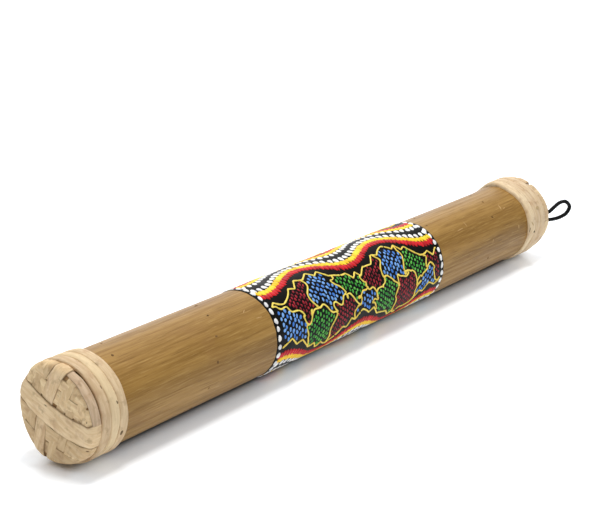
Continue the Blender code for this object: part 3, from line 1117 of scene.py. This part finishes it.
class Cap:
    """Shape of one end: how its rounded edge and its bulge change around it."""

    def __init__(self, prefix, end, corner, seed, bare, swell, pull=(), narrow=(0, 0, 90)):
        self.prefix = prefix
        self.end = end
        self.corner = corner
        self.swell = swell
        self.pull = pull
        self.narrow = narrow
        self.seed = seed
        self.bare = bare
        self.flat = SIDE_R - corner

    def bulge(self, angle):
        """How far the side stands out, by hand-made unevenness, at an angle."""
        uneven = 0.08 * np.sin(np.radians(2 * angle + 40)) + 0.06 * np.sin(np.radians(5 * angle))
        for size, middle, width in self.swell:
            uneven = uneven + size * bump_at(angle, middle, width)
        return uneven * MM

    def wrap_share(self, angle):
        """How much of its full depth the wrap takes up at an angle."""
        share, middle, width = self.narrow
        return 1 - share * float(bump_at(angle, middle, width))

    def surface(self, angle, travel, level):
        """Points over the cap: travel runs from the middle of the face over its edge."""
        length = self.corner * math.pi / 2
        bend = np.clip((travel - self.flat) / self.corner, 0, math.pi / 2)
        past = np.maximum(travel - self.flat - length, 0)
        edge_depth = self.corner + past
        dive = np.clip((edge_depth - TUCK_DEPTH) / TUCK_LENGTH, 0, 1)
        radius = np.minimum(travel, self.flat) + self.corner * np.sin(bend)
        radius = radius - (SIDE_R - TUCK_R) * dive * dive * (3 - 2 * dive)
        radius = radius + level * np.sin(bend)
        depth = self.corner * (1 - np.cos(bend)) + past - level * np.cos(bend)
        share = np.clip(radius / SIDE_R, 0, 1)
        grown = self.bulge(angle)
        for size, middle, width in self.pull:
            grown = grown - size * MM * bump_at(angle, middle, width)
        return around(self.end * (HALF - depth), angle, radius + grown * share ** 3)

    def crossing(self, direction, along, across, level):
        """Points of a strip that crosses the face and folds straight down the side."""
        across = np.clip(across, -EDGE_LINE, EDGE_LINE)
        stop = np.sqrt(REACH ** 2 - across ** 2)
        planar = np.clip(along, -stop, stop)
        extra = np.abs(along) - np.abs(planar)
        angle = direction + np.degrees(np.arctan2(across, planar))
        return self.surface(angle, np.hypot(planar, across) + extra, level)


# Bare is the span of angles where the hoop shows.  Swell and pull hold bumps as (size in mm,
# middle angle, half width), and narrow is one bump as (share, middle angle, half width).
FRONT_CAP = Cap("front", -1, corner=3.6 * MM, seed=100, bare=(-14, 64),
                swell=((0.5, 95, 60),),
                pull=((2.7, 192, 80), (0.9, 285, 45), (-0.6, 112, 26), (0.7, 138, 14)))
REAR_CAP = Cap("rear", 1, corner=2.6 * MM, seed=300, bare=(-40, -20),
               swell=((1.5, 57, 76), (0.8, 8, 40), (1.3, 104, 38)),
               narrow=(0.22, 135, 70))


# A strip's section: (share of its width, share of its thickness)
STRIP_SECTION = (
    (-0.5, 0.3), (-0.48, 0.66), (-0.42, 0.88), (-0.25, 0.97), (0, 1.0), (0.25, 0.97),
    (0.42, 0.88), (0.48, 0.66), (0.5, 0.3), (0.46, 0.02), (0.2, 0), (-0.2, 0), (-0.46, 0.02),
)


EDGE_WAVER = 0.45 * MM


def add_strip(shells, cap, direction, offset, span, level, width, thick, seed, bow=0.0):
    """A strip across the face; level gives its top along the way, and span its two ends."""
    along = np.linspace(*span, 120)
    section = np.array(STRIP_SECTION)
    left, right = ripple(seed, 24, 13, 7), ripple(seed + 50, 27, 11, 6)
    u = along[:, None]
    part = section[None, :, 0]
    edge = np.where(part < 0, left(u / MM), right(u / MM))
    bend = bow * np.minimum(np.abs(u), REACH) ** 2
    across = offset - bend + part * (width + EDGE_WAVER * edge)
    height = level(along)[:, None] + (section[None, :, 1] - 1) * thick
    points = cap.crossing(direction, np.broadcast_to(u, across.shape), across, height)
    grain = np.stack([np.broadcast_to(u, across.shape) / MM, across / MM,
                      np.full(across.shape, float(seed))], axis=-1)
    shells.add_rings(points, grain, off_edge(section[:, 0] + 0.5, len(along)))


# The two broad strips that cross the face: direction, sideways shift, width and bow
OVER_STRIP = (158.5, 0.2 * MM, 10.3 * MM, 8.4)
UNDER_STRIP = (70, 5.2 * MM, 6.7 * MM, 5.8)
CROSS_THICK = 0.8 * MM
# Length of a strip past the edge of the face, down the side and under the turns
TAIL = 12 * MM


def fold(offset):
    """Where a strip at this sideways shift passes over the edge of the face."""
    return math.sqrt(REACH ** 2 - min(abs(offset), EDGE_LINE) ** 2)


def make_cross_strips(cap, mat):
    """The two broad strips that cross in the middle of the face."""
    for kind, strip, dip, base in (("over", OVER_STRIP, 0.0, -0.05),
                                   ("under", UNDER_STRIP, 0.75, -0.3)):
        direction, shift, width, bow = strip
        crossing = UNDER_STRIP[1] if kind == "over" else OVER_STRIP[1]
        end = fold(shift) + TAIL
        swell = ripple(cap.seed + len(kind), 31, 17)

        def level(u):
            under = dip * np.exp(-((u - crossing) / (7 * MM)) ** 4)
            return (base - under + 0.12 * swell(u / MM)) * MM

        shells = Shells()
        add_strip(shells, cap, direction, shift, (-end, end), level, width,
                  CROSS_THICK, cap.seed + 7 * len(kind), bow)
        piece = shells.add_piece(f"{cap.prefix}_{kind}_strip", mat, "rattan_strip",
                                 [f"{cap.prefix}_strip_{kind}"])
        if cap.end > 0:
            pierce(piece)


def pierce(obj):
    """Opens the hole in the middle of the rear face where the cord comes out."""
    cutter = bpy.data.objects.get("cord_hole")
    if cutter is None:
        shells = Shells()
        turns = full_turn(32)
        ends = (HALF - 12 * MM, HALF + 4 * MM)
        shells.add_rings([around(x, turns, CORD_HOLE_R) for x in ends])
        cutter = new_object("cord_hole", shells.mesh("cord_hole"))
        cutter.hide_render = True
        cutter.display_type = 'WIRE'
    cut = obj.modifiers.new("cord_hole", 'BOOLEAN')
    cut.operation = 'DIFFERENCE'
    cut.solver = 'EXACT'
    cut.object = cutter


# How far the ends of the weave reach past the edge of the face, where the hoop shows
SHORT_END = 2.3 * MM
WEAVE_THICK = 0.75 * MM
# Strips woven under the cross, beside the over and the under strip: shift and width in
# millimetres, and bow
OVER_FAMILY = ((-16.4, 5.8, 0), (-9.4, 7.4, 5), (9.2, 7.4, 8), (16.2, 6.0, 8))
UNDER_FAMILY = ((-17.3, 4.4, -2), (-12.8, 4.7, 0), (-7.9, 4.8, 2.2), (-2.8, 5.2, 4.4),
                (12.2, 6.6, 5.8), (17.6, 4.4, 5.8))
WEAVE_PITCH = 7.4 * MM
# Levels against the cap's own surface, and how far the weave sways, in millimetres
BACKING_LEVEL = -1.32
WEAVE_LEVEL = -0.85
WEAVE_LIFT = 0.26


def make_weave(cap, mat):
    """Narrower strips woven under the cross; they stop short where the hoop shows."""
    shells = Shells()
    families = ((OVER_STRIP[0], OVER_FAMILY), (UNDER_STRIP[0], UNDER_FAMILY))
    for family, (direction, members) in enumerate(families):
        for k, (shift, width, bow) in enumerate(members):
            offset = shift * MM
            number = cap.seed + 20 * family + 3 * k
            ends, bare = [], []
            for way in (-1, 1):
                angle = direction + math.degrees(math.atan2(offset, way * fold(offset)))
                short = cap.bare[0] < (angle + 180) % 360 - 180 < cap.bare[1]
                ends.append(way * (fold(offset) + (SHORT_END if short else TAIL)))
                bare.append(short)

            def level(u):
                lift = WEAVE_LIFT * (-1) ** (k + family) * np.cos(math.pi * u / WEAVE_PITCH)
                rim = np.clip((np.abs(u) - fold(offset) + 6 * MM) / (5 * MM), 0, 1)
                rise = np.where(np.where(u < 0, bare[0], bare[1]), 0.0, 0.45)
                return (WEAVE_LEVEL + lift * (1 - rim) + rise * rim - 0.15 * family * rim) * MM

            add_strip(shells, cap, direction, offset, ends, level, width * MM,
                      WEAVE_THICK, number, bow)
    weave = shells.add_piece(f"{cap.prefix}_weave", mat, "rattan_mat", [f"{cap.prefix}_mat"])
    if cap.end > 0:
        pierce(weave)


def make_backing(cap, mat):
    """The inner layer that shows in the gaps of the weave, coloured darker than the strips as
    painted shade in those gaps.
    """
    turns = full_turn(96)
    lumps = ripple(cap.end + 5, 60, 33, 19)
    bottom = 3.6 * MM
    first = CORD_HOLE_R if cap.end > 0 else 0.4 * MM
    travels = np.linspace(first, 24 * MM, 22)
    rings = []
    for travel in travels:
        level = (BACKING_LEVEL + 0.1 * lumps(turns + travel / MM * 9)) * MM
        rings.append(cap.surface(turns, np.full(len(turns), travel), level))
    for travel in travels[::-1]:
        rings.append(cap.surface(turns, np.full(len(turns), travel), -bottom))
    add_shell(f"{cap.prefix}_backing", rings, mat, "rattan_mat", closed=True)


# The hoop's section: (share from its inner to its outer edge, share of its thickness)
HOOP_SECTION = ((0, 0.3), (0.03, 0.85), (0.14, 1.0), (0.35, 1.0), (0.55, 1.0), (0.78, 1.0),
                (0.95, 0.9), (1, 0.3), (0.78, 0), (0.55, 0), (0.35, 0), (0.14, 0))
HOOP_TRAVEL = (22.4 * MM, 28.6 * MM)


def make_hoop(cap, mat):
    """The thin hoop bent over the rounded edge, from under the strips to the first turn."""
    angles = np.linspace(0, 360, 240)
    wobble = ripple(cap.seed + 3, 170, 95, 41)
    middle, spread = sum(cap.bare) / 2, cap.bare[1] - cap.bare[0]
    low, high = HOOP_TRAVEL
    sunk, rise = -1.25, 0.95
    thick = 0.7
    rings, grain = [], []
    for angle in angles:
        shown = min(1, 2 * float(bump_at(angle, middle, spread * 0.75)))
        top = sunk + rise * shown
        ring = []
        for share, height in HOOP_SECTION:
            travel = low + (high - low) * share + 0.3 * MM * wobble(angle * 1.7) * (1 - share)
            level = (top + (height - 1) * thick + 0.08 * wobble(angle)) * MM
            ring.append(cap.surface(angle, travel, level))
            grain.append((angle * SIDE_R / MM * math.radians(1), travel / MM, cap.seed))
        rings.append(ring)
    add_shell(f"{cap.prefix}_hoop", rings, mat, "rattan_rim", [f"{cap.prefix}_rim_hoop"],
              grain=np.array(grain, float),
              tint=off_edge(np.array(HOOP_SECTION)[:, 0], len(angles)))


# A turn's section: (share from its near to its far edge, share of its thickness)
TURN_SECTION = (
    (0, 0.4), (0.02, 0.72), (0.1, 0.92), (0.3, 1.0), (0.6, 1.0), (0.86, 0.94), (0.97, 0.74),
    (1, 0.4), (0.98, 0), (0.5, 0), (0.02, 0),
)
TURNS = 3
TURN_START_ANGLE = 215
TURN_OVERLAP = 14


def make_turns(cap, mat):
    """Rattan turns round the folded strips, each tucked under its own start."""
    whole = TURN_START_ANGLE + 360
    section = np.array(TURN_SECTION)
    waver = 0.42 * MM
    overlap = 0.25 * MM
    tuck = 0.9 * MM
    inner = TURN_INNER_R - 0.4 * MM
    for number in range(1, TURNS + 1):
        low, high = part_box(f"{cap.prefix}_turn_{number}")
        near, far = sorted((HALF - abs(low.x), HALF - abs(high.x)))
        angles = np.linspace(TURN_START_ANGLE, whole + TURN_OVERLAP, 220)
        edges = [ripple(cap.seed + 9 + number + edge, 190, 110, 57) for edge in (0, 1)]
        swell = ripple(cap.seed + 39 + number, 140, 63, 29)
        rings, grain = [], []
        for angle in angles:
            past = max(0, angle - whole) / TURN_OVERLAP
            first = near + waver * edges[0](angle)
            last = far + waver * edges[1](angle) + overlap
            depth = (first + (last - first) * section[:, 0]) * cap.wrap_share(angle)
            top = TURN_R + 0.16 * MM * swell(angle) - past * tuck - 0.1 * MM
            top += cap.bulge(angle)
            radius = inner + section[:, 1] * (top - inner)
            rings.append(around(cap.end * (HALF - depth), angle, radius))
            along = np.full(len(section), angle * SIDE_R / MM * math.radians(1))
            seed = np.full(len(section), cap.seed + number * 1.0)
            grain.append(np.stack([along, depth / MM, seed], axis=1))
        add_shell(f"{cap.prefix}_wrap_{number}", rings, mat, "rattan_turn",
                  [f"{cap.prefix}_turn_{number}"], grain=np.array(grain))


def make_cap(cap, looks):
    make_backing(cap, looks["backing"])
    make_weave(cap, looks["weave"])
    make_hoop(cap, looks["hoop"])
    make_cross_strips(cap, looks["strip"])
    make_turns(cap, looks["turn"])


# Pale, warm and dark colour of each kind of rattan
RATTAN_COLOURS = {
    "front_weave": ((240, 215, 172), (222, 191, 145), (150, 114, 76)),
    "front_hoop": ((214, 189, 158), (190, 162, 131), (144, 114, 86)),
    "front_strip": ((237, 211, 171), (218, 187, 143), (152, 118, 80)),
    "front_turn": ((226, 201, 164), (206, 177, 138), (158, 126, 92)),
    "rear_turn": ((234, 213, 179), (219, 193, 155), (176, 142, 108)),
}


def cap_rattan(kind, **extra):
    """The look of one kind of rattan."""
    colours = [srgb(*colour) for colour in RATTAN_COLOURS[kind]]
    return rattan_look(f"{kind}_rattan", *colours, **extra)


def make_caps():
    """Both caps; the rear one is paler and has fewer flecks."""
    front = {kind: cap_rattan(f"front_{kind}") for kind in ("weave", "hoop", "strip", "turn")}
    front["backing"] = backing_look()
    rear = dict(front)
    rear["strip"] = rear["weave"] = front["turn"]
    rear["turn"] = cap_rattan("rear_turn", fleck_share=0.06)
    make_cap(FRONT_CAP, front)
    make_cap(REAR_CAP, rear)


# ---- inside: plugs, pins, pebbles

PEBBLES = 8
PIN_NODES = 32


def make_stones(mat):
    """Worn pebbles in the lanes of the design, each a little different."""
    for number in range(1, PEBBLES + 1):
        low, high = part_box(f"pebble_{number}")
        centre, half = (low + high) / 2, (high - low) / 2
        bm = bmesh.new()
        bmesh.ops.create_icosphere(bm, subdivisions=4, radius=1)
        for vert in bm.verts:
            p = vert.co
            dent = 0.05 * math.sin(3.1 * p.x + number) * math.cos(2.3 * p.y - number)
            dent += 0.03 * math.sin(5.3 * p.z + 2 * number)
            vert.co = centre + Vector(p[i] * half[i] * (0.93 + dent) for i in range(3))
        mesh = bpy.data.meshes.new(f"stone_{number}")
        bm.to_mesh(mesh)
        bm.free()
        mesh.shade_smooth()
        add_piece(mesh.name, mesh, mat, [f"pebble_{number}"], f"pebble_{number}")


def dress_node(name, mat):
    """Gives a node of the design that stays in sight a material of its own."""
    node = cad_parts[name]
    node.data.materials.clear()
    node.data.materials.append(mat)


def dress_inside():
    pin_mat = wood_look("pin_wood", srgb(150, 108, 66), srgb(92, 60, 34))
    plug_mat = wood_look("plug_wood", srgb(206, 172, 124), srgb(158, 120, 76))
    for number in range(1, PIN_NODES + 1):
        dress_node(f"rain_pin_{number:02d}", pin_mat)
    for prefix in ("front", "rear"):
        dress_node(f"{prefix}_plug", plug_mat)
    make_pins_between(pin_mat)
    make_stones(stone_look())


# ---- floor

def make_floor():
    reach = 6.0
    bm = bmesh.new()
    bmesh.ops.create_grid(bm, x_segments=8, y_segments=8, size=reach)
    mesh = bpy.data.meshes.new("studio_floor")
    bm.to_mesh(mesh)
    bm.free()
    mesh.materials.append(floor_look())
    new_object("studio_floor", mesh)


add_camera()
make_loop(cord_look())
add_studio()
make_floor()
make_skin(bamboo_look())
make_all_marks()
make_band()
make_caps()
dress_inside()
